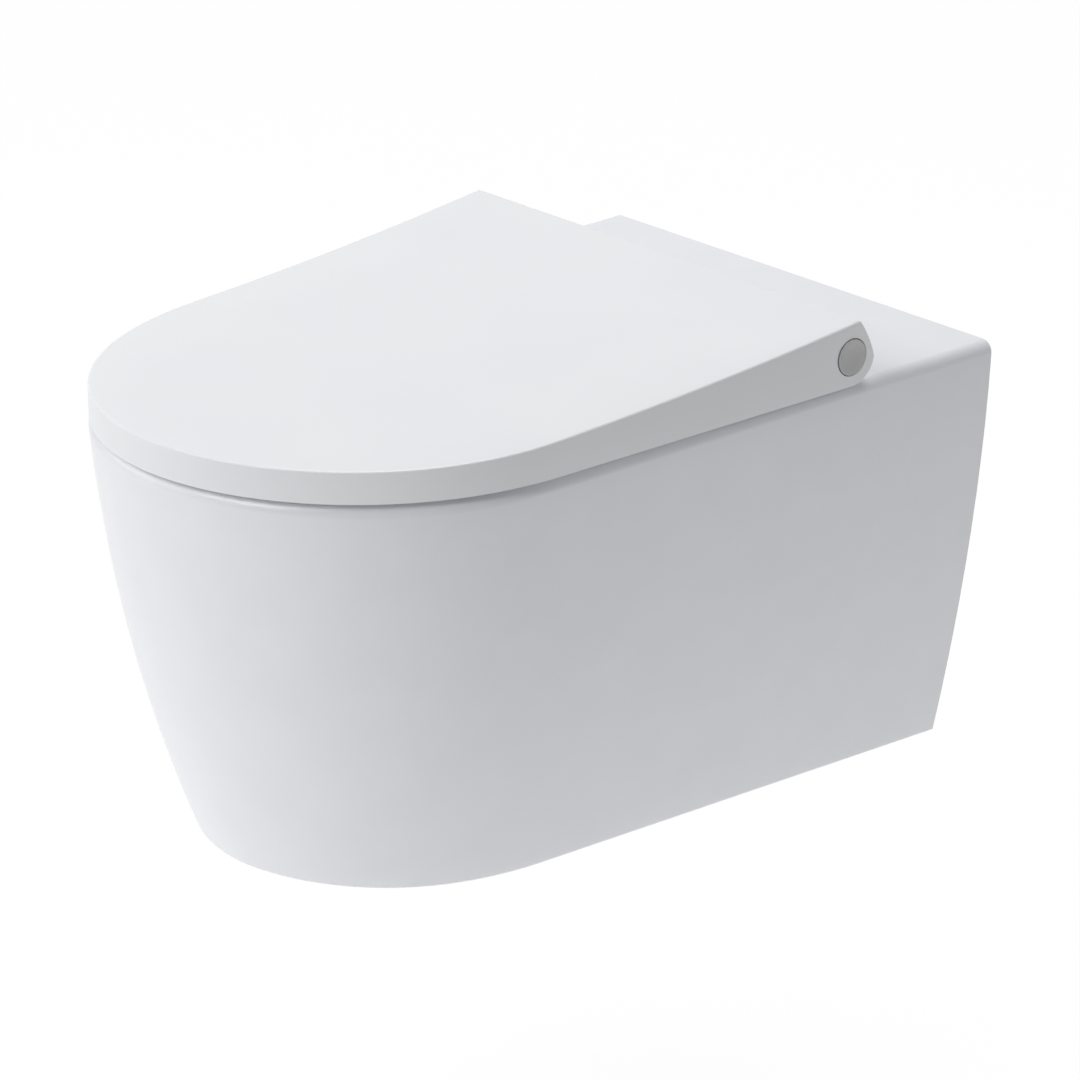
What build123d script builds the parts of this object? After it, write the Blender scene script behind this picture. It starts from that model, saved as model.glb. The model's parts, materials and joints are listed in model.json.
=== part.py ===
from build123d import *
import os
from math import cos, radians, sin

os.makedirs("parts", exist_ok=True)

# Wall hung toilet, in millimetres. The wall is the plane y = 0, the front points to -Y, and the origin
# lies on the wall half way between the two fixing studs.

# Pan: heights and walls
deck_z = 80.0
pan_height = 296.0
foot_front_lift = 8.7
deck_thickness = 22.0
skirt_wall = 10.0
back_wall = 14.0
deck_edge_radius = 8.0
foot_edge_radius = 3.0

# Pan: plan at the rim, then at the foot. The sides run straight to side_y and then bend into the nose.
rim_half_rear = 184.7
rim_half_side = 178.8
rim_side_y = -399.2
rim_nose_y = -569.4
rim_side_pull = 0.61
rim_nose_pull = 0.50
foot_half_rear = 139.0
foot_half_side = 130.6
foot_side_y = -354.5
foot_nose_y = -504.2
foot_side_pull = 0.83
foot_nose_pull = 0.29
skirt_sections = 7
hollow_end = 1.02

# Bowl: half width, back, widest place and front at the rim, and the way it draws in further down
bowl_half = 140.0
bowl_back_y = -196.0
bowl_mid_y = -335.0
bowl_front_y = -534.0
bowl_wall = 9.0
bowl_fullness = 0.56
bowl_levels = ((0.16, 0.98), (0.40, 0.84), (0.63, 0.60), (0.82, 0.37))

# Trap and outlet
trap_radius = 25.0
trap_wall = 8.0
sump_radius = 27.0
bowl_end_radius = 19.0
sump_y = -345.0
sump_z = -174.0
dip_end_y = -215.0
weir_y = -160.0
weir_z = -74.0
outlet_z = -100.0
outlet_radius = 51.0
outlet_wall = 8.0
spigot_length = 60.0
outlet_back_y = -104.0
trap_dip_bend = 45.0
trap_weir_bend = 38.0
trap_drop = 2.0
outlet_shoulder = 3.0
outlet_recess_radius = 84.0

# Flush inlet and the distributor behind the bowl
inlet_z = 35.0
inlet_radius = 27.5
inlet_depth = 45.0
inlet_wall = 10.0
flush_radius = 20.0
distributor_half = 50.0
distributor_half_height = 13.0
distributor_back_y = -175.0

# Wall fixing
stud_spacing = 180.0
liner_bore = 6.5
liner_radius = 13.9
liner_fit = 0.1
liner_length = 74.0
collar_radius = 18.0
collar_thickness = 3.0
boss_wall = 10.0
clamp_y = -35.0
clamp_radius = 4.0
clamp_head_radius = 7.0
clamp_head_height = 6.0
clamp_socket_radius = 3.4
clamp_socket_depth = 3.6
clamp_tip_gap = 0.4
clamp_gap = 0.3
clamp_head_gap = 0.5

# Seat posts
post_spacing = 155.0
post_radius = 6.0
post_height = 14.0
rosette_radius = 13.0
rosette_thickness = 4.0
gasket_thickness = 1.0
shank_radius = 4.0
shank_end = 12.0
deck_hole_radius = 7.0
washer_radius = 11.0
washer_thickness = 1.5
nut_radius = 7.5
nut_thickness = 7.0
close_fit = 0.05
tip_chamfer = 1.0
cut_over = 1.0

# Hinge axis and blocks
hinge_y = -133.8
hinge_z = 101.5
block_inner_x = 60.5
block_outer_x = 98.5
block_radius = 14.5
block_half_depth = 10.0
key_side = 6.8
seat_key_length = 9.5
lid_key_length = 7.5
shaft_radius = 5.0

# Release parts inside each block
rod_radius = 2.0
button_travel = 3.0
slide_inner_x = 70.0
slide_outer_x = 90.0
slide_half_width = 7.5
slide_thickness = 2.0
slide_z = 95.0
slide_gap = 0.2
tab_half_width = 3.0

# Lid
lid_overhang = 1.3
lid_toe_in = 6.1
lid_rear_y = -126.9
lid_side_y = -386.0
lid_front_y = -571.0
lid_side_pull = 0.61
lid_nose_pull = 0.50
lid_rear_z = 125.1
lid_slope = 0.111
lid_curve = 0.00014
lid_wall = 5.0
lid_stock = 80.0
below_lid = 10.0
side_over = 5.0
cheek_turn = -10.0
cheek_bulge = 13.8
cheek_lean = 3.3
boss_root = 1.0
web_overlap = 3.0
lid_skin = 4.5
lid_edge_radius = 1.8
cheek_radius = 20.2
hinge_clearance = 15.4
rear_wall_angle = -20.0
notch_angle = 50.0
notch_gap = 2.0
lid_boss_radius = 15.0
lid_boss_gap = 1.5
web_thickness = 3.0
rod_tunnel_radius = 5.5
cap_radius = 12.3
cap_gap = 0.6
cap_thickness = 4.0
cap_rim = 1.1
cap_dish = 2.2
cap_edge_radius = 0.5
cap_proud = 0.6
recess_play = 1.0
spring_length = 16.0
spring_radius = 4.6
spring_bore = 2.4

# Dampers and bushes
lid_damper_inner_x = 102.0
damper_tail = 8.0
lid_damper_radius = 12.0
seat_damper_inner_x = 10.0
seat_damper_radius = 11.0
damper_wall = 2.5
damper_end = 3.0
vane_thickness = 3.0
vane_gap = 0.4
bush_radius = 8.0
bush_length = 24.0
seat_pin_length = 35.0

# Seat
seat_gap = 2.0
seat_back_y = -156.0
seat_bottom_z = 83.3
seat_thickness = 12.7
seat_edge_radius = 3.5
barrel_radius = 14.0
barrel_gap = 1.2
seat_web_half = 56.0
seat_web_root = 10.0
seat_web_bottom = 92.0
seat_web_top = 104.0
opening_half = 110.0
opening_back_y = -215.0
opening_mid_y = -345.0
opening_front_y = -498.0
opening_fullness = 0.62

# Buffers
buffer_radius = 7.0
rest_gap = 0.3
seat_buffer_rear_inset = 22.0
seat_buffer_rear_reach = 124.0
seat_buffer_front_inset = 60.0
seat_buffer_front_reach = 91.0
lid_buffer_rear_inset = 30.0
lid_buffer_rear_reach = 94.0
lid_buffer_front_inset = 75.0
lid_buffer_front_reach = 101.0
buffer_stem_radius = 2.5

# Worked out from the sizes above
deck_underside_z = deck_z - deck_thickness
stud_x = stud_spacing / 2
post_x = post_spacing / 2
boss_end_y = -liner_length - close_fit
boss_radius = liner_radius + liner_fit + boss_wall
rosette_bottom_z = deck_z + gasket_thickness
block_bottom_z = rosette_bottom_z + rosette_thickness
post_top_z = block_bottom_z + post_height
seat_top_z = seat_bottom_z + seat_thickness
lid_bottom_z = hinge_z - cheek_radius
lid_half_rear = rim_half_rear + lid_overhang
lid_half_side = lid_half_rear - lid_toe_in
lid_length = lid_rear_y - lid_front_y
lid_front_z = lid_rear_z - lid_slope * lid_length + lid_curve * lid_length**2
lid_cut_y = hinge_y + cheek_radius + side_over
cap_face_x = lid_half_rear + cap_proud
cap_back_x = cap_face_x - cap_thickness
recess_floor_x = cap_back_x - button_travel - recess_play
shaft_end_x = cap_back_x - spring_length
lid_damper_outer_x = shaft_end_x - damper_tail
barrel_half = block_inner_x - barrel_gap
boss_inner_x = block_outer_x + lid_boss_gap
slot_inner_x = slide_inner_x - button_travel - slide_gap
slot_outer_x = slide_outer_x + slide_gap
tab_slot_x = slide_outer_x - slide_thickness - button_travel - slide_gap
lid_key_x = block_outer_x - lid_key_length
seat_key_x = block_inner_x + seat_key_length
seat_buffers = (
    ("rear", lid_half_side - seat_buffer_rear_inset, hinge_y - seat_buffer_rear_reach),
    ("front", lid_half_side - seat_buffer_front_inset, lid_front_y + seat_buffer_front_reach),
)
lid_buffers = (
    ("rear", lid_half_side - lid_buffer_rear_inset, hinge_y - lid_buffer_rear_reach),
    ("front", lid_half_side - lid_buffer_front_inset, lid_front_y + lid_buffer_front_reach),
)
sides = (("left", -1), ("right", 1))


# Mixes a rim value with a foot value
def blend(at_rim, at_foot, share):
    return at_rim + (at_foot - at_rim) * share


# Closed plan outline: straight back, straight sides that lean in, and a nose drawn by two curves
def nosed_outline(back_half, back_y, side_half, side_y, nose_y, side_pull, nose_pull):
    lean = (side_half - back_half) / (side_y - back_y)
    pull = side_pull * (side_y - nose_y)
    side_handle = (side_half - lean * pull, side_y - pull)
    nose_handle = nose_pull * side_half
    Line((-back_half, back_y), (back_half, back_y))
    Line((back_half, back_y), (side_half, side_y))
    Bezier((side_half, side_y), side_handle, (nose_handle, nose_y), (0, nose_y))
    Bezier((0, nose_y), (-nose_handle, nose_y), (-side_handle[0], side_handle[1]), (-side_half, side_y))
    Line((-side_half, side_y), (-back_half, back_y))


# Plan outline of the skirt at a share of its depth, drawn inset by a wall
def skirt_outline(depth, inset, back_y):
    rear_share = 0.27 * depth + 0.73 * depth**1.8
    share = 0.417 * depth + 0.583 * depth**2.28
    nosed_outline(
        blend(rim_half_rear, foot_half_rear, rear_share) - inset,
        back_y,
        blend(rim_half_side, foot_half_side, share) - inset,
        blend(rim_side_y, foot_side_y, share),
        blend(rim_nose_y, foot_nose_y, share) + inset,
        blend(rim_side_pull, foot_side_pull, share),
        blend(rim_nose_pull, foot_nose_pull, share),
    )


# Plane of a skirt section: it tips forward with depth, as the foot does
def skirt_plane(depth):
    tip = depth * foot_front_lift / -foot_nose_y
    return Plane(origin=(0, 0, deck_z - depth * pan_height), x_dir=(1, 0, 0), z_dir=(0, tip, 1))


# Plan outline of the lid, inset by a wall and cut off straight at the back
def lid_outline(inset, back_y):
    lean = (lid_half_side - lid_half_rear) / (lid_side_y - lid_rear_y)
    back_half = lid_half_rear + lean * (back_y - lid_rear_y)
    nosed_outline(
        back_half - inset,
        back_y,
        lid_half_side - inset,
        lid_side_y,
        lid_front_y + inset,
        lid_side_pull,
        lid_nose_pull,
    )


# Height of the lid's inner face at a place along its length
def lid_inner_z(y):
    run = lid_rear_y - y
    return lid_rear_z - lid_slope * run + lid_curve * run**2 - lid_skin - close_fit


# Egg-shaped opening from four curves
def egg_outline(half, back_y, mid_y, front_y, fullness):
    back_pull = fullness * (back_y - mid_y)
    front_pull = fullness * (mid_y - front_y)
    across = fullness * half
    Bezier((0, back_y), (across, back_y), (half, mid_y + back_pull), (half, mid_y))
    Bezier((half, mid_y), (half, mid_y - front_pull), (across, front_y), (0, front_y))
    Bezier((0, front_y), (-across, front_y), (-half, mid_y - front_pull), (-half, mid_y))
    Bezier((-half, mid_y), (-half, mid_y + back_pull), (-across, back_y), (0, back_y))


# Sizes of the bowl at a share of the way from the rim to the sump
def bowl_outline(width_share, grow):
    egg_outline(
        blend(bowl_end_radius, bowl_half, width_share) + grow,
        blend(sump_y + bowl_end_radius, bowl_back_y, width_share) + grow,
        blend(sump_y, bowl_mid_y, width_share),
        blend(sump_y - bowl_end_radius, bowl_front_y, width_share) - grow,
        bowl_fullness,
    )


# Round bar along X on the hinge axis
def axis_rod(radius, x_from, x_to, mode=Mode.ADD):
    with Locations(Location(((x_from + x_to) / 2, hinge_y, hinge_z), (0, 90, 0))):
        Cylinder(radius, abs(x_to - x_from), mode=mode)


# Round bar along Y
def y_rod(radius, x, z, y_from, y_to, mode=Mode.ADD):
    with Locations(Location((x, (y_from + y_to) / 2, z), (90, 0, 0))):
        Cylinder(radius, abs(y_to - y_from), mode=mode)


# Round bar along Z
def z_rod(radius, x, y, z_from, z_to, mode=Mode.ADD):
    with Locations((x, y, (z_from + z_to) / 2)):
        Cylinder(radius, abs(z_to - z_from), mode=mode)


# Block between two corners
def span_box(low, high, mode=Mode.ADD):
    with Locations(tuple((a + b) / 2 for a, b in zip(low, high))):
        Box(*(abs(b - a) for a, b in zip(low, high)), mode=mode)


# Square key on the hinge axis
def key_box(x_from, x_to, mode=Mode.ADD):
    half = key_side / 2
    span_box((x_from, hinge_y - half, hinge_z - half), (x_to, hinge_y + half, hinge_z + half), mode)


# Names a piece and writes its file
def save(piece, node):
    piece.part.label = node
    export_step(piece.part, f"parts/{node}.step")


# Centre line of the trap, from the sump over the weir into the outlet
with BuildLine(Plane.YZ) as trap_line:
    FilletPolyline(
        (sump_y, sump_z),
        (dip_end_y, sump_z),
        (weir_y, weir_z),
        (outlet_back_y + 2 * outlet_wall, outlet_z + outlet_radius - outlet_wall - trap_radius - trap_drop),
        radius=[trap_dip_bend, trap_weir_bend],
    )

# Ceramic pan: skirt, deck, bowl, trap, outlet and inlet in one piece
with BuildPart() as ceramic_pan:
    for step in range(skirt_sections):
        with BuildSketch(skirt_plane(step / (skirt_sections - 1))):
            with BuildLine():
                skirt_outline(step / (skirt_sections - 1), 0.0, cut_over)
            make_face()
    loft()
    split(bisect_by=Plane.XZ, keep=Keep.TOP)
    deck_edges = ceramic_pan.faces().sort_by(Axis.Z)[-1].edges().sort_by(Axis.Y)[:-1]
    fillet(deck_edges, radius=deck_edge_radius)
    foot_edges = ceramic_pan.faces().sort_by(Axis.Z)[0].edges().sort_by(Axis.Y)[:-1]
    fillet(foot_edges, radius=foot_edge_radius)
    # Hollow behind the skirt, open below
    for step in range(skirt_sections):
        depth = blend(deck_thickness / pan_height, hollow_end, step / (skirt_sections - 1))
        with BuildSketch(skirt_plane(depth)):
            with BuildLine():
                skirt_outline(depth, skirt_wall, -back_wall)
            make_face()
    loft(mode=Mode.SUBTRACT)
    y_rod(outlet_recess_radius, 0, outlet_z, -back_wall - cut_over, cut_over, Mode.SUBTRACT)
    # Outside of the bowl, trap, outlet, inlet and fixing bosses
    bowl_depth = deck_z - sump_z
    with BuildSketch(Plane.XY.offset(deck_z - deck_thickness / 2)):
        with BuildLine():
            bowl_outline(1.0, bowl_wall)
        make_face()
    for depth, width_share in bowl_levels:
        with BuildSketch(Plane.XY.offset(deck_z - depth * bowl_depth)):
            with BuildLine():
                bowl_outline(width_share, bowl_wall)
            make_face()
    with BuildSketch(Plane.XY.offset(sump_z)):
        with BuildLine():
            bowl_outline(0.0, trap_wall)
        make_face()
    loft()
    with Locations((0, sump_y, sump_z)):
        Sphere(sump_radius + trap_wall)
    with BuildSketch(Plane(origin=(0, sump_y, sump_z), z_dir=(0, 1, 0))):
        Circle(trap_radius + trap_wall)
    sweep(path=trap_line.line)
    y_rod(outlet_radius, 0, outlet_z, outlet_back_y, 0)
    y_rod(outlet_radius + outlet_shoulder, 0, outlet_z, outlet_back_y, -spigot_length)
    y_rod(inlet_radius + inlet_wall, 0, inlet_z, -inlet_depth - inlet_wall, -back_wall / 2)
    y_rod(flush_radius + inlet_wall, 0, inlet_z, distributor_back_y, -inlet_depth)
    span_box(
        (-distributor_half - inlet_wall, bowl_back_y - bowl_wall, inlet_z - distributor_half_height - inlet_wall),
        (distributor_half + inlet_wall, distributor_back_y + inlet_wall, deck_z - deck_thickness / 2),
    )
    for name, sign in sides:
        y_rod(boss_radius, sign * stud_x, 0, boss_end_y, -back_wall / 2)
    # Inside of the bowl
    for level, width_share in ((deck_z + deck_thickness, 1.0), (deck_z, 1.0)):
        with BuildSketch(Plane.XY.offset(level)):
            with BuildLine():
                bowl_outline(width_share, 0.0)
            make_face()
    for depth, width_share in bowl_levels:
        with BuildSketch(Plane.XY.offset(deck_z - depth * bowl_depth)):
            with BuildLine():
                bowl_outline(width_share, 0.0)
            make_face()
    with BuildSketch(Plane.XY.offset(sump_z)):
        with BuildLine():
            bowl_outline(0.0, 0.0)
        make_face()
    loft(mode=Mode.SUBTRACT)
    with Locations((0, sump_y, sump_z)):
        Sphere(sump_radius, mode=Mode.SUBTRACT)
    with BuildSketch(Plane(origin=(0, sump_y, sump_z), z_dir=(0, 1, 0))):
        Circle(trap_radius)
    sweep(path=trap_line.line, mode=Mode.SUBTRACT)
    # Ways through the outlet and the inlet
    y_rod(outlet_radius - outlet_wall, 0, outlet_z, outlet_back_y + outlet_wall, cut_over, Mode.SUBTRACT)
    y_rod(inlet_radius, 0, inlet_z, -inlet_depth, cut_over, Mode.SUBTRACT)
    y_rod(flush_radius, 0, inlet_z, distributor_back_y - cut_over, -inlet_depth + cut_over, Mode.SUBTRACT)
    span_box(
        (-distributor_half, bowl_back_y - 2 * bowl_wall, inlet_z - distributor_half_height),
        (distributor_half, distributor_back_y, inlet_z + distributor_half_height),
        Mode.SUBTRACT,
    )
    for name, sign in sides:
        y_rod(liner_radius + liner_fit, sign * stud_x, 0, boss_end_y - cut_over, cut_over, Mode.SUBTRACT)
        z_rod(clamp_radius + clamp_gap, sign * stud_x, clamp_y, -boss_radius - cut_over, 0, Mode.SUBTRACT)
        z_rod(deck_hole_radius, sign * post_x, hinge_y, deck_underside_z - cut_over, deck_z + cut_over, Mode.SUBTRACT)
save(ceramic_pan, "ceramic_pan")

# Wall fixing: liners for the studs, and the screws that clamp them from below
for name, sign in sides:
    with BuildPart() as stud_liner:
        y_rod(liner_radius, sign * stud_x, 0, boss_end_y, 0)
        y_rod(collar_radius, sign * stud_x, 0, boss_end_y - collar_thickness, boss_end_y)
        y_rod(liner_bore, sign * stud_x, 0, boss_end_y - collar_thickness, 0, Mode.SUBTRACT)
        z_rod(clamp_radius, sign * stud_x, clamp_y, -collar_radius, 0, Mode.SUBTRACT)
    save(stud_liner, f"stud_liner_{name}")

    with BuildPart() as clamp_screw:
        head_top_z = -boss_radius - clamp_head_gap
        z_rod(clamp_radius, sign * stud_x, clamp_y, head_top_z, -liner_bore - clamp_tip_gap)
        z_rod(clamp_head_radius, sign * stud_x, clamp_y, head_top_z - clamp_head_height, head_top_z)
        with BuildSketch(Plane.XY.offset(head_top_z - clamp_head_height)):
            with Locations((sign * stud_x, clamp_y)):
                RegularPolygon(clamp_socket_radius, 6)
        extrude(amount=clamp_socket_depth, mode=Mode.SUBTRACT)
    save(clamp_screw, f"clamp_screw_{name}")

# Seat posts and what holds them in the deck
for name, sign in sides:
    x = sign * post_x
    washer_bottom_z = deck_underside_z - washer_thickness
    with BuildPart() as seat_post:
        z_rod(shank_radius, x, hinge_y, washer_bottom_z - shank_end, block_bottom_z)
        z_rod(rosette_radius, x, hinge_y, rosette_bottom_z, block_bottom_z)
        z_rod(post_radius, x, hinge_y, block_bottom_z, post_top_z)
        chamfer(seat_post.edges().group_by(Axis.Z)[-1], length=tip_chamfer)
    save(seat_post, f"seat_post_{name}")

    with BuildPart() as post_gasket:
        z_rod(rosette_radius, x, hinge_y, deck_z, rosette_bottom_z)
        z_rod(shank_radius, x, hinge_y, deck_z, rosette_bottom_z, Mode.SUBTRACT)
    save(post_gasket, f"post_gasket_{name}")

    with BuildPart() as post_bushing:
        z_rod(deck_hole_radius - close_fit, x, hinge_y, deck_underside_z, deck_z)
        z_rod(shank_radius + close_fit, x, hinge_y, deck_underside_z, deck_z, Mode.SUBTRACT)
    save(post_bushing, f"post_bushing_{name}")

    with BuildPart() as post_washer:
        z_rod(washer_radius, x, hinge_y, washer_bottom_z, deck_underside_z)
        z_rod(shank_radius + close_fit, x, hinge_y, washer_bottom_z, deck_underside_z, Mode.SUBTRACT)
    save(post_washer, f"post_washer_{name}")

    with BuildPart() as post_nut:
        with BuildSketch(Plane.XY.offset(washer_bottom_z)):
            with Locations((x, hinge_y)):
                RegularPolygon(nut_radius, 6)
                Circle(shank_radius + close_fit, mode=Mode.SUBTRACT)
        extrude(amount=-nut_thickness)
    save(post_nut, f"post_nut_{name}")

# Hinge blocks, slipped over the posts, with the slot of the release slide
for name, sign in sides:
    with BuildPart() as hinge_block:
        axis_rod(block_radius, sign * block_inner_x, sign * block_outer_x)
        span_box(
            (sign * block_inner_x, hinge_y - block_half_depth, block_bottom_z),
            (sign * block_outer_x, hinge_y + block_half_depth, hinge_z),
        )
        z_rod(post_radius + close_fit, sign * post_x, hinge_y, block_bottom_z, post_top_z + cut_over, Mode.SUBTRACT)
        key_box(sign * block_inner_x, sign * seat_key_x, Mode.SUBTRACT)
        key_box(sign * lid_key_x, sign * block_outer_x, Mode.SUBTRACT)
        axis_rod(rod_radius + close_fit, sign * slide_outer_x, sign * block_outer_x, Mode.SUBTRACT)
        span_box(
            (sign * slot_inner_x, hinge_y - slide_half_width - slide_gap, slide_z - slide_thickness / 2 - slide_gap),
            (sign * slot_outer_x, hinge_y + slide_half_width + slide_gap, slide_z + slide_thickness / 2 + slide_gap),
            Mode.SUBTRACT,
        )
        span_box(
            (sign * tab_slot_x, hinge_y - tab_half_width - slide_gap, slide_z),
            (sign * slot_outer_x, hinge_y + tab_half_width + slide_gap, hinge_z + rod_radius + slide_gap),
            Mode.SUBTRACT,
        )
    save(hinge_block, f"hinge_block_{name}")

# Release parts: the slide round the post, the rod on the hinge axis, its spring and the round cap
for name, sign in sides:
    with BuildPart() as release_slide:
        with BuildSketch(Plane.XY.offset(slide_z - slide_thickness / 2)):
            with Locations((sign * (slide_inner_x + slide_outer_x) / 2, hinge_y)):
                Rectangle(slide_outer_x - slide_inner_x, 2 * slide_half_width)
            with Locations((sign * (post_x + button_travel / 2), hinge_y)):
                SlotCenterToCenter(button_travel, 2 * (post_radius + slide_gap), mode=Mode.SUBTRACT)
        extrude(amount=slide_thickness)
        span_box(
            (sign * (slide_outer_x - slide_thickness), hinge_y - tab_half_width, slide_z - slide_thickness / 2),
            (sign * slide_outer_x, hinge_y + tab_half_width, hinge_z + rod_radius),
        )
    save(release_slide, f"release_slide_{name}")

    with BuildPart() as release_rod:
        axis_rod(rod_radius, sign * slide_outer_x, sign * cap_back_x)
    save(release_rod, f"release_rod_{name}")

    with BuildPart() as button_spring:
        axis_rod(spring_radius, sign * shaft_end_x, sign * (cap_back_x - button_travel - slide_gap))
        axis_rod(spring_bore, sign * shaft_end_x, sign * cap_back_x, Mode.SUBTRACT)
    save(button_spring, f"button_spring_{name}")

    with BuildPart() as button_cap:
        with BuildSketch(Plane.XY.offset(hinge_z)):
            with BuildLine():
                back = (sign * cap_back_x, hinge_y)
                turn = (sign * (cap_face_x - cap_edge_radius), hinge_y + cap_radius)
                face_start = (sign * cap_face_x, hinge_y + cap_radius - cap_edge_radius)
                dish_start = (sign * cap_face_x, hinge_y + cap_radius - cap_rim)
                dish_middle = (sign * (cap_face_x - cap_dish), hinge_y)
                Polyline(dish_middle, back, (back[0], turn[1]), turn)
                RadiusArc(turn, face_start, sign * cap_edge_radius)
                Line(face_start, dish_start)
                Bezier(dish_start, (dish_middle[0], hinge_y + cap_radius / 2), dish_middle)
            make_face()
        revolve(axis=Axis((0, hinge_y, hinge_z), (1, 0, 0)))
    save(button_cap, f"button_cap_{name}")

# Lid damper on the right: housing in the lid boss, rotor keyed in the hinge block
with BuildPart() as lid_damper_housing:
    axis_rod(lid_damper_radius, lid_damper_inner_x, lid_damper_outer_x)
    axis_rod(
        lid_damper_radius - damper_wall,
        lid_damper_inner_x + damper_end,
        lid_damper_outer_x - damper_end,
        Mode.SUBTRACT,
    )
    span_box(
        (lid_damper_inner_x, hinge_y - vane_thickness / 2, hinge_z - lid_damper_radius + damper_wall / 2),
        (lid_damper_outer_x, hinge_y + vane_thickness / 2, hinge_z - shaft_radius - vane_gap),
    )
    axis_rod(shaft_radius + close_fit, lid_damper_inner_x, lid_damper_outer_x, Mode.SUBTRACT)
save(lid_damper_housing, "lid_damper_housing")

with BuildPart() as lid_damper_rotor:
    axis_rod(shaft_radius, block_outer_x, shaft_end_x)
    key_box(lid_key_x, block_outer_x)
    span_box(
        (lid_damper_inner_x + damper_end + vane_gap, hinge_y - vane_thickness / 2, hinge_z),
        (
            lid_damper_outer_x - damper_end - vane_gap,
            hinge_y + vane_thickness / 2,
            hinge_z + lid_damper_radius - damper_wall - vane_gap,
        ),
    )
    axis_rod(rod_radius + close_fit, lid_key_x, shaft_end_x, Mode.SUBTRACT)
save(lid_damper_rotor, "lid_damper_rotor")

# Seat damper on the left: housing in the seat barrel, rotor keyed in the hinge block
with BuildPart() as seat_damper_housing:
    axis_rod(seat_damper_radius, -seat_damper_inner_x, -barrel_half)
    axis_rod(
        seat_damper_radius - damper_wall,
        -seat_damper_inner_x - damper_end,
        -barrel_half + damper_end,
        Mode.SUBTRACT,
    )
    span_box(
        (-barrel_half, hinge_y - vane_thickness / 2, hinge_z - seat_damper_radius + damper_wall / 2),
        (-seat_damper_inner_x, hinge_y + vane_thickness / 2, hinge_z - shaft_radius - vane_gap),
    )
    axis_rod(shaft_radius + close_fit, -seat_damper_inner_x, -barrel_half, Mode.SUBTRACT)
save(seat_damper_housing, "seat_damper_housing")

with BuildPart() as seat_damper_rotor:
    axis_rod(shaft_radius, -seat_damper_inner_x, -block_inner_x)
    key_box(-seat_key_x, -block_inner_x)
    span_box(
        (-barrel_half + damper_end + vane_gap, hinge_y - vane_thickness / 2, hinge_z),
        (
            -seat_damper_inner_x - damper_end - vane_gap,
            hinge_y + vane_thickness / 2,
            hinge_z + seat_damper_radius - damper_wall - vane_gap,
        ),
    )
save(seat_damper_rotor, "seat_damper_rotor")

# Plain hinge of the lid on the left, and of the seat on the right
with BuildPart() as lid_hinge_pin:
    axis_rod(shaft_radius, -block_outer_x, -shaft_end_x)
    key_box(-lid_key_x, -block_outer_x)
    axis_rod(rod_radius + close_fit, -lid_key_x, -shaft_end_x, Mode.SUBTRACT)
save(lid_hinge_pin, "lid_hinge_pin")

with BuildPart() as lid_bush:
    axis_rod(bush_radius, -lid_damper_inner_x, -lid_damper_inner_x - bush_length)
    axis_rod(shaft_radius + close_fit, -lid_damper_inner_x, -lid_damper_inner_x - bush_length, Mode.SUBTRACT)
save(lid_bush, "lid_bush")

with BuildPart() as seat_hinge_pin:
    axis_rod(shaft_radius, block_inner_x - seat_pin_length, block_inner_x)
    key_box(block_inner_x, seat_key_x)
save(seat_hinge_pin, "seat_hinge_pin")

with BuildPart() as seat_bush:
    axis_rod(bush_radius, barrel_half - bush_length, barrel_half)
    axis_rod(shaft_radius + close_fit, barrel_half - bush_length, barrel_half, Mode.SUBTRACT)
save(seat_bush, "seat_bush")

# Seat ring with its web and hinge barrel
with BuildPart() as seat_ring:
    with BuildSketch(Plane.XY.offset(seat_bottom_z)):
        with BuildLine():
            lid_outline(lid_wall + seat_gap, seat_back_y)
        make_face()
    extrude(amount=seat_thickness)
    fillet(seat_ring.edges().group_by(Axis.Z)[-1], radius=seat_edge_radius)
    with BuildSketch(Plane.XY.offset(seat_bottom_z)):
        with BuildLine():
            egg_outline(opening_half, opening_back_y, opening_mid_y, opening_front_y, opening_fullness)
        make_face()
    extrude(amount=seat_thickness, mode=Mode.SUBTRACT)
    span_box((-seat_web_half, seat_back_y - seat_web_root, seat_web_bottom), (seat_web_half, hinge_y, seat_web_top))
    axis_rod(barrel_radius, -barrel_half, barrel_half)
    axis_rod(seat_damper_radius + close_fit, -seat_damper_inner_x, -barrel_half, Mode.SUBTRACT)
    axis_rod(bush_radius, barrel_half - bush_length, barrel_half, Mode.SUBTRACT)
    axis_rod(rod_tunnel_radius, block_inner_x - seat_pin_length - cut_over, barrel_half, Mode.SUBTRACT)
save(seat_ring, "seat_ring")

# Space inside the lid, which the seat fills
top_mid_y = lid_rear_y - lid_length / 2
top_mid_z = lid_rear_z - lid_slope * lid_length / 2
with BuildPart() as lid_inside:
    with BuildSketch(Plane.XY.offset(lid_bottom_z - below_lid)):
        with BuildLine():
            lid_outline(lid_wall, lid_cut_y)
        make_face()
    extrude(amount=lid_stock)
    with BuildSketch(Plane.YZ.offset(-lid_half_rear)):
        with BuildLine():
            top_start = (lid_rear_y, lid_rear_z - lid_skin)
            arc_start = (hinge_y + hinge_clearance * cos(radians(45)), hinge_z + hinge_clearance * sin(radians(45)))
            arc_mid = (hinge_y + hinge_clearance * cos(radians(-20)), hinge_z + hinge_clearance * sin(radians(-20)))
            low_end = (hinge_y, hinge_z - hinge_clearance)
            Bezier((lid_front_y, lid_front_z - lid_skin), (top_mid_y, top_mid_z - lid_skin), top_start)
            Line(top_start, arc_start)
            ThreePointArc(arc_start, arc_mid, low_end)
            Polyline(
                low_end,
                (hinge_y, lid_bottom_z - below_lid),
                (lid_front_y, lid_bottom_z - below_lid),
                (lid_front_y, lid_front_z - lid_skin),
            )
        make_face()
    extrude(amount=2 * lid_half_rear, mode=Mode.INTERSECT)

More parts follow.
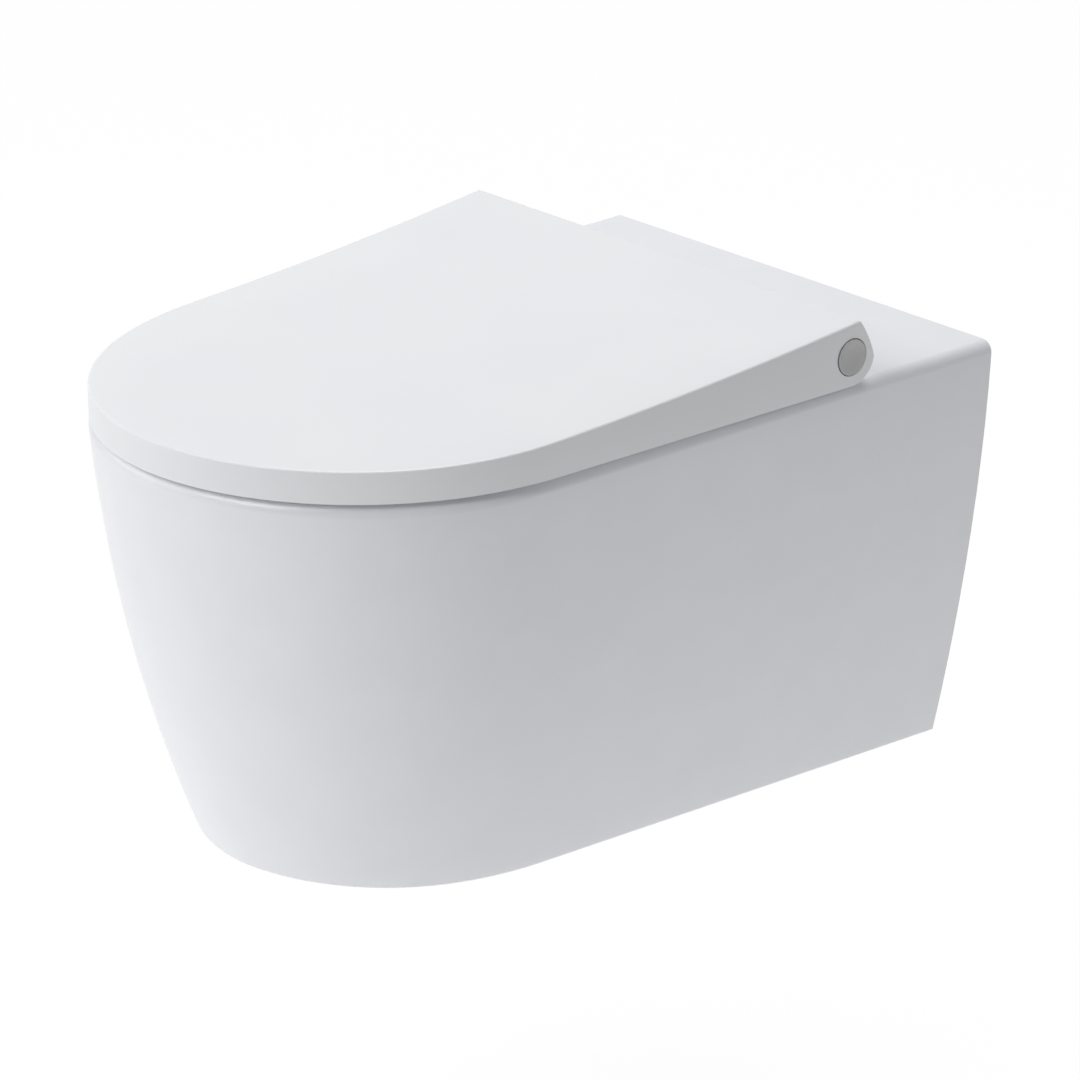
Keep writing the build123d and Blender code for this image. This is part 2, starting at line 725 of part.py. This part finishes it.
# Lid shell: a cover that overlaps the seat, with cheeks, hinge bosses and round recesses for the caps
with BuildPart() as lid_shell:
    inner_half = lid_half_rear - lid_wall
    with BuildSketch(Plane.XY.offset(lid_bottom_z)):
        with BuildLine():
            lid_outline(0.0, lid_cut_y)
        make_face()
    extrude(amount=lid_stock)
    with BuildSketch(Plane.YZ.offset(-lid_half_rear - side_over)):
        with BuildLine():
            cheek_low = (hinge_y, hinge_z - cheek_radius)
            cheek_mid = (hinge_y + cheek_radius * cos(radians(-42)), hinge_z + cheek_radius * sin(radians(-42)))
            cheek_high = (
                hinge_y + cheek_radius * cos(radians(cheek_turn)),
                hinge_z + cheek_radius * sin(radians(cheek_turn)),
            )
            top_corner = (lid_rear_y, lid_rear_z)
            Line((lid_front_y, lid_bottom_z), cheek_low)
            ThreePointArc(cheek_low, cheek_mid, cheek_high)
            Bezier(cheek_high, (cheek_high[0] - cheek_lean, cheek_high[1] + cheek_bulge), top_corner)
            Bezier(top_corner, (top_mid_y, top_mid_z), (lid_front_y, lid_front_z))
            Line((lid_front_y, lid_front_z), (lid_front_y, lid_bottom_z))
        make_face()
    extrude(amount=2 * (lid_half_rear + side_over), mode=Mode.INTERSECT)
    upward_faces = lid_shell.faces().filter_by(lambda face: face.normal_at().Z > 0.9)
    lid_top = upward_faces.sort_by(SortBy.AREA)[-1]
    fillet(lid_top.edges(), radius=lid_edge_radius)
    add(lid_inside.part, mode=Mode.SUBTRACT)
    rear_wall_z = hinge_z + cheek_radius * sin(radians(rear_wall_angle))
    span_box((-inner_half, hinge_y, lid_bottom_z - below_lid), (inner_half, lid_cut_y, rear_wall_z), Mode.SUBTRACT)
    for name, sign in sides:
        span_box(
            (sign * (block_inner_x - notch_gap), hinge_y, lid_bottom_z - below_lid),
            (sign * (block_outer_x + notch_gap), lid_cut_y, hinge_z + cheek_radius * sin(radians(notch_angle))),
            Mode.SUBTRACT,
        )
        axis_rod(lid_boss_radius, sign * boss_inner_x, sign * (inner_half + boss_root))
        span_box(
            (sign * boss_inner_x, hinge_y - web_thickness / 2, hinge_z + lid_boss_radius - web_overlap),
            (sign * (inner_half + boss_root), hinge_y + web_thickness / 2, hinge_z + hinge_clearance + boss_root),
        )
        axis_rod(rod_tunnel_radius, sign * boss_inner_x, sign * cap_face_x, Mode.SUBTRACT)
        axis_rod(cap_radius + cap_gap, sign * recess_floor_x, sign * (cap_face_x + side_over), Mode.SUBTRACT)
    axis_rod(lid_damper_radius + close_fit, boss_inner_x, lid_damper_outer_x, Mode.SUBTRACT)
    axis_rod(bush_radius, -boss_inner_x, -lid_damper_inner_x - bush_length, Mode.SUBTRACT)
save(lid_shell, "lid_shell")

# Buffers: short pads under the seat, and pads of the lid's height above it
for name, sign in sides:
    for place, x, y in seat_buffers:
        with BuildPart() as seat_buffer:
            z_rod(buffer_radius, sign * x, y, deck_z + rest_gap, seat_bottom_z)
        save(seat_buffer, f"seat_buffer_{place}_{name}")

    for place, x, y in lid_buffers:
        with BuildPart() as lid_buffer:
            z_rod(buffer_radius, sign * x, y, seat_top_z + rest_gap, lid_inner_z(y - buffer_radius))
            z_rod(buffer_stem_radius, sign * x, y, seat_top_z + rest_gap, lid_inner_z(y - buffer_stem_radius))
        save(lid_buffer, f"lid_buffer_{place}_{name}")
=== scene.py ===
import bpy
import json
from math import cos, radians, sin
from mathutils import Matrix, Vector

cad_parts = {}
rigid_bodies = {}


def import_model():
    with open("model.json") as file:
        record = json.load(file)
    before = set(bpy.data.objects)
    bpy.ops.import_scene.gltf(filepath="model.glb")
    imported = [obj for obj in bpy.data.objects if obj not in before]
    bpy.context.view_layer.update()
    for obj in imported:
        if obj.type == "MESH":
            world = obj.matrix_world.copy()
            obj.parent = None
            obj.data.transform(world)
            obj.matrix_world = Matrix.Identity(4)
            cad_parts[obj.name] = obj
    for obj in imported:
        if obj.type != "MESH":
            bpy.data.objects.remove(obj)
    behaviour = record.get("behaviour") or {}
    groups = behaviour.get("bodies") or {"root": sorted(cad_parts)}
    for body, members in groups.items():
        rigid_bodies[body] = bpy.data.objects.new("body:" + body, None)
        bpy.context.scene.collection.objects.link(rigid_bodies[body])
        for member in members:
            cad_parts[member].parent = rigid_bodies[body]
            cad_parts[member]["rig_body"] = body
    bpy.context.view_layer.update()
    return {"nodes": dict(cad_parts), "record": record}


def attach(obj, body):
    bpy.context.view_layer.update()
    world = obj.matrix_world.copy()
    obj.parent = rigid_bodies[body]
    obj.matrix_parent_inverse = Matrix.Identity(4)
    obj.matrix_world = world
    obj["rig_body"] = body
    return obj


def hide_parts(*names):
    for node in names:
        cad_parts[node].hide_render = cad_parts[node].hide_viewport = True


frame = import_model()
scene = bpy.context.scene
millimetre = 0.001
print("frame loaded:", len(frame["nodes"]), "nodes")


# sRGB hex to the linear values that the shader wants
def linear(hexColour, alpha=1.0):
    channels = [int(hexColour[i:i + 2], 16) / 255 for i in (1, 3, 5)]
    return [c / 12.92 if c <= 0.04045 else ((c + 0.055) / 1.055) ** 2.4 for c in channels] + [alpha]


# Adds a node, gives it its settings and links its inputs
def addNode(material, kind, settings=None, inputs=None):
    node = material.node_tree.nodes.new(kind)
    for name, value in (settings or {}).items():
        setattr(node, name, value)
    for name, value in (inputs or {}).items():
        if isinstance(value, bpy.types.NodeSocket):
            material.node_tree.links.new(value, node.inputs[name])
        else:
            node.inputs[name].default_value = value
    return node


# A new material with its shader set, ready for patterns
def startMaterial(name, settings):
    material = bpy.data.materials.new(name)
    material.use_nodes = True
    shader = material.node_tree.nodes["Principled BSDF"]
    for socket, value in settings.items():
        shader.inputs[socket].default_value = value
    return material, shader


def deselectAll():
    if bpy.context.object and bpy.context.object.mode != "OBJECT":
        bpy.ops.object.mode_set(mode="OBJECT")
    bpy.ops.object.select_all(action="DESELECT")


# Camera: stands where the photograph was taken from, with a long lens
cameraView = {
    "place": (2.7676, -2.7634, 1.4189),
    "azimuth": 47.63,
    "elevation": 21.44,
    "lens": 200.3,
    "sensor": 36.0,
    "farthest": 50.0,
}


def makeCamera(view):
    azimuth, elevation = radians(view["azimuth"]), radians(view["elevation"])
    data = bpy.data.cameras.new("photoCamera")
    data.lens = view["lens"]
    data.sensor_width = view["sensor"]
    data.sensor_fit = "HORIZONTAL"
    data.clip_end = view["farthest"]
    camera = bpy.data.objects.new("photoCamera", data)
    scene.collection.objects.link(camera)
    backward = Vector((sin(azimuth) * cos(elevation), -cos(azimuth) * cos(elevation), sin(elevation)))
    camera.rotation_euler = backward.to_track_quat("Z", "Y").to_euler()
    camera.location = view["place"]
    scene.camera = camera


makeCamera(cameraView)
print("camera set")


# Vitreous china: slip-cast clay fired under a white glaze, which pools a little, so its face is a touch uneven
glaze = {
    "colour": "#E9EAED",
    "shade": "#E4E5E9",
    "roughness": 0.34,
    "ior": 1.52,
    "coat": 0.25,
    "coatRoughness": 0.18,
    "waveMm": 38.0,
    "waveDepth": 0.05,
}


def makeGlaze(g):
    material, shader = startMaterial("vitreousChinaGlaze", {
        "Roughness": g["roughness"], "IOR": g["ior"],
        "Coat Weight": g["coat"], "Coat Roughness": g["coatRoughness"]})
    place = addNode(material, "ShaderNodeTexCoord")
    wave = addNode(material, "ShaderNodeTexNoise", inputs={
        "Vector": place.outputs["Object"], "Scale": 1 / (g["waveMm"] * millimetre), "Detail": 2.0})
    tint = addNode(material, "ShaderNodeMix", {"data_type": "RGBA"}, {"Factor": wave.outputs["Fac"]})
    tint.inputs[6].default_value = linear(g["colour"])
    tint.inputs[7].default_value = linear(g["shade"])
    bump = addNode(material, "ShaderNodeBump", inputs={
        "Height": wave.outputs["Fac"], "Strength": g["waveDepth"], "Distance": millimetre})
    material.node_tree.links.new(tint.outputs[2], shader.inputs["Base Color"])
    material.node_tree.links.new(bump.outputs["Normal"], shader.inputs["Normal"])
    return material


# Duroplast: urea resin pressed in a polished mould. More even than the glaze, with a faint orange peel
duroplast = {
    "colour": "#EAEBED",
    "shade": "#E6E7EA",
    "roughness": 0.38,
    "ior": 1.55,
    "coat": 0.15,
    "coatRoughness": 0.22,
    "cloudsPerMetre": 9.0,
    "peelMm": 3.0,
    "peelDepth": 0.02,
}


def makeDuroplast(d):
    material, shader = startMaterial("pressedDuroplast", {
        "Roughness": d["roughness"], "IOR": d["ior"],
        "Coat Weight": d["coat"], "Coat Roughness": d["coatRoughness"]})
    place = addNode(material, "ShaderNodeTexCoord")
    peel = addNode(material, "ShaderNodeTexNoise", inputs={
        "Vector": place.outputs["Object"], "Scale": 1 / (d["peelMm"] * millimetre), "Detail": 1.0})
    cloud = addNode(material, "ShaderNodeTexNoise", inputs={
        "Vector": place.outputs["Object"], "Scale": d["cloudsPerMetre"], "Detail": 1.0})
    tint = addNode(material, "ShaderNodeMix", {"data_type": "RGBA"}, {"Factor": cloud.outputs["Fac"]})
    tint.inputs[6].default_value = linear(d["colour"])
    tint.inputs[7].default_value = linear(d["shade"])
    bump = addNode(material, "ShaderNodeBump", inputs={
        "Height": peel.outputs["Fac"], "Strength": d["peelDepth"], "Distance": millimetre})
    material.node_tree.links.new(tint.outputs[2], shader.inputs["Base Color"])
    material.node_tree.links.new(bump.outputs["Normal"], shader.inputs["Normal"])
    return material


# Turned and matt-plated zinc: grey, with the lathe's fine rings round the hinge axis.
# Blasting under the plating scatters much of the light, so the dish shades softly and is only part mirror
satinZinc = {
    "colour": "#A9A9AA",
    "metal": 0.4,
    "roughness": 0.42,
    "ringMm": 0.5,
    "ringDepth": 0.06,
    "ringWaver": 0.4,
    "axisY": -0.1338,
    "axisZ": 0.1015,
}
# The cast hinge pieces: the same plating, brighter and unturned
castZinc = dict(satinZinc, colour="#C4C5C7", metal=1.0, ringDepth=0.0)
ringAtScaleOne = 0.314  # metres from ring to ring of a Wave node at a scale of 1
fineDepth = 0.2 * millimetre


def makeSatinZinc(z):
    material, shader = startMaterial("satinPlatedZinc", {
        "Base Color": linear(z["colour"]), "Metallic": z["metal"], "Roughness": z["roughness"]})
    place = addNode(material, "ShaderNodeTexCoord")
    centred = addNode(material, "ShaderNodeMapping", {"vector_type": "POINT"}, {
        "Vector": place.outputs["Object"], "Location": (0.0, -z["axisY"], -z["axisZ"])})
    rings = addNode(material, "ShaderNodeTexWave", {"wave_type": "RINGS", "rings_direction": "X"}, {
        "Vector": centred.outputs["Vector"],
        "Scale": ringAtScaleOne / (z["ringMm"] * millimetre), "Distortion": z["ringWaver"]})
    bump = addNode(material, "ShaderNodeBump", inputs={
        "Height": rings.outputs["Fac"], "Strength": z["ringDepth"], "Distance": fineDepth})
    material.node_tree.links.new(bump.outputs["Normal"], shader.inputs["Normal"])
    return material


# Stainless steel, drawn and lightly brushed: fine streaks along X, the length of the pins and rods
stainless = {
    "colour": "#B9BABB",
    "smoothest": 0.22,
    "roughest": 0.4,
    "grainMm": 0.35,
    "streak": 0.08,
}


def makeStainless(s):
    material, shader = startMaterial("brushedStainless", {"Base Color": linear(s["colour"]), "Metallic": 1.0})
    place = addNode(material, "ShaderNodeTexCoord")
    stretched = addNode(material, "ShaderNodeMapping", inputs={
        "Vector": place.outputs["Object"], "Scale": (s["streak"], 1.0, 1.0)})
    grain = addNode(material, "ShaderNodeTexNoise", inputs={
        "Vector": stretched.outputs["Vector"], "Scale": 1 / (s["grainMm"] * millimetre), "Detail": 2.0})
    rough = addNode(material, "ShaderNodeMapRange", inputs={
        "Value": grain.outputs["Fac"], "To Min": s["smoothest"], "To Max": s["roughest"]})
    material.node_tree.links.new(rough.outputs["Result"], shader.inputs["Roughness"])
    return material


# Moulded rubber and nylon: matt, with the fine grain of a spark-eroded mould
buffer = {"colour": "#D9DADB", "roughness": 0.7, "grainMm": 0.6, "grainDepth": 0.15}
nylon = {"colour": "#D6D6D2", "roughness": 0.55, "grainMm": 0.8, "grainDepth": 0.15}


def makeMouldedPlastic(name, m):
    material, shader = startMaterial(name, {"Base Color": linear(m["colour"]), "Roughness": m["roughness"]})
    place = addNode(material, "ShaderNodeTexCoord")
    grain = addNode(material, "ShaderNodeTexNoise", inputs={
        "Vector": place.outputs["Object"], "Scale": 1 / (m["grainMm"] * millimetre), "Detail": 3.0})
    bump = addNode(material, "ShaderNodeBump", inputs={
        "Height": grain.outputs["Fac"], "Strength": m["grainDepth"], "Distance": fineDepth})
    material.node_tree.links.new(bump.outputs["Normal"], shader.inputs["Normal"])
    return material


materials = {
    "pan_glaze": makeGlaze(glaze),
    "lid_plastic": makeDuroplast(duroplast),
    "cap_metal": makeSatinZinc(satinZinc),
    "hinge_metal": makeSatinZinc(castZinc),
    "steel": makeStainless(stainless),
    "buffer_rubber": makeMouldedPlastic("mouldedRubber", buffer),
    "nylon": makeMouldedPlastic("mouldedNylon", nylon),
}
materials["seat_plastic"] = materials["lid_plastic"]
slotOfNode = {entry["node"]: entry["material_slot"] for entry in frame["record"]["subparts"]}
for node, cadObject in frame["nodes"].items():
    cadObject.data.materials.clear()
    cadObject.data.materials.append(materials[slotOfNode[node]])
print("materials made:", len(materials))


weldDistance = 0.000002
sharpAngle = {"pan": 30, "lid": 20, "seat": 30}  # degrees between faces, past which an edge stays sharp


# A smooth-shaded copy of a CAD node: its loose triangles are merged, and only real edges stay sharp
def smoothCopy(node, name, sharpDegrees):
    source = frame["nodes"][node]
    mesh = source.data.copy()
    piece = bpy.data.objects.new(name, mesh)
    scene.collection.objects.link(piece)
    deselectAll()
    piece.select_set(True)
    bpy.context.view_layer.objects.active = piece
    bpy.ops.object.mode_set(mode="EDIT")
    bpy.ops.mesh.select_all(action="SELECT")
    bpy.ops.mesh.customdata_custom_splitnormals_clear()
    bpy.ops.mesh.remove_doubles(threshold=weldDistance)
    bpy.ops.object.mode_set(mode="OBJECT")
    bpy.ops.object.shade_smooth_by_angle(angle=radians(sharpDegrees))
    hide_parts(node)
    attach(piece, source["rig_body"])


smoothCopy("ceramic_pan", "panGlaze", sharpAngle["pan"])
smoothCopy("lid_shell", "lidCover", sharpAngle["lid"])
smoothCopy("seat_ring", "seatRing", sharpAngle["seat"])
print("shells dressed")


# Studio: a pale floor that glows a little, as a light table does, and three broad soft lamps
studio = {
    "floorZ": -0.5,
    "floorSize": 14.0,
    "floorColour": "#F2F2F2",
    "floorRoughness": 0.9,
    "floorGlow": 0.41,
    "floorWhite": 0.94,  # how far the floor turns to white where it is seen directly; the rest keeps the shadow
    "worldGrey": 0.095,
    "worldBlue": 1.03,
    "lamps": {
        "lowLeftLamp": {"place": (-3.0, -2.6, 0.9), "size": 2.4, "power": 21.0},
        "frontLamp": {"place": (-0.6, -3.6, 3.0), "size": 2.4, "power": 82.0},
        "topLamp": {"place": (-0.3, 0.3, 3.6), "size": 2.4, "power": 81.0},
    },
    "aim": (0, -0.3, 0),
}
white = (1, 1, 1, 1)


# 1 for what the eye, a mirror or clear glass sees directly, else 0: such rays meet the white backdrop
def seenDirectly(holder):
    path = addNode(holder, "ShaderNodeLightPath")
    mirrored = addNode(holder, "ShaderNodeMath", {"operation": "MAXIMUM"}, {
        0: path.outputs["Is Glossy Ray"], 1: path.outputs["Is Transmission Ray"]})
    direct = addNode(holder, "ShaderNodeMath", {"operation": "MAXIMUM"}, {
        0: path.outputs["Is Camera Ray"], 1: mirrored.outputs[0]})
    return direct.outputs[0]


def makeLamp(name, lamp, aim):
    data = bpy.data.lights.new(name, "AREA")
    data.size = lamp["size"]
    data.energy = lamp["power"]
    light = bpy.data.objects.new(name, data)
    light.location = lamp["place"]
    toLamp = Vector(lamp["place"]) - Vector(aim)
    light.rotation_euler = toLamp.to_track_quat("Z", "Y").to_euler()
    scene.collection.objects.link(light)


def makeStudio(s):
    deselectAll()
    bpy.ops.mesh.primitive_plane_add(size=s["floorSize"], location=(0, 0, s["floorZ"]))
    floor = bpy.context.object
    floor.name = "studioFloor"
    bpy.ops.object.transform_apply(location=True, rotation=True, scale=True)
    material, shader = startMaterial("paleFloor", {
        "Base Color": linear(s["floorColour"]), "Roughness": s["floorRoughness"],
        "Emission Color": white, "Emission Strength": s["floorGlow"]})
    pageWhite = addNode(material, "ShaderNodeEmission", inputs={"Color": white, "Strength": 1.0})
    seen = addNode(material, "ShaderNodeMath", {"operation": "MULTIPLY"}, {
        0: seenDirectly(material), 1: s["floorWhite"]})
    mix = addNode(material, "ShaderNodeMixShader", inputs={
        0: seen.outputs[0], 1: shader.outputs[0], 2: pageWhite.outputs[0]})
    material.node_tree.links.new(mix.outputs[0], material.node_tree.nodes["Material Output"].inputs["Surface"])
    floor.data.materials.append(material)
    world = bpy.data.worlds.new("studioWorld")
    scene.world = world
    world.use_nodes = True
    background = world.node_tree.nodes["Background"]
    grey = s["worldGrey"]
    background.inputs["Color"].default_value = (grey, grey, grey * s["worldBlue"], 1)
    backdrop = addNode(world, "ShaderNodeBackground", inputs={"Color": white})
    either = addNode(world, "ShaderNodeMixShader", inputs={
        0: seenDirectly(world), 1: background.outputs[0], 2: backdrop.outputs[0]})
    world.node_tree.links.new(either.outputs[0], world.node_tree.nodes["World Output"].inputs["Surface"])
    for name, lamp in s["lamps"].items():
        makeLamp(name, lamp, s["aim"])


makeStudio(studio)
scene.view_settings.view_transform = "Standard"
print("studio lit")
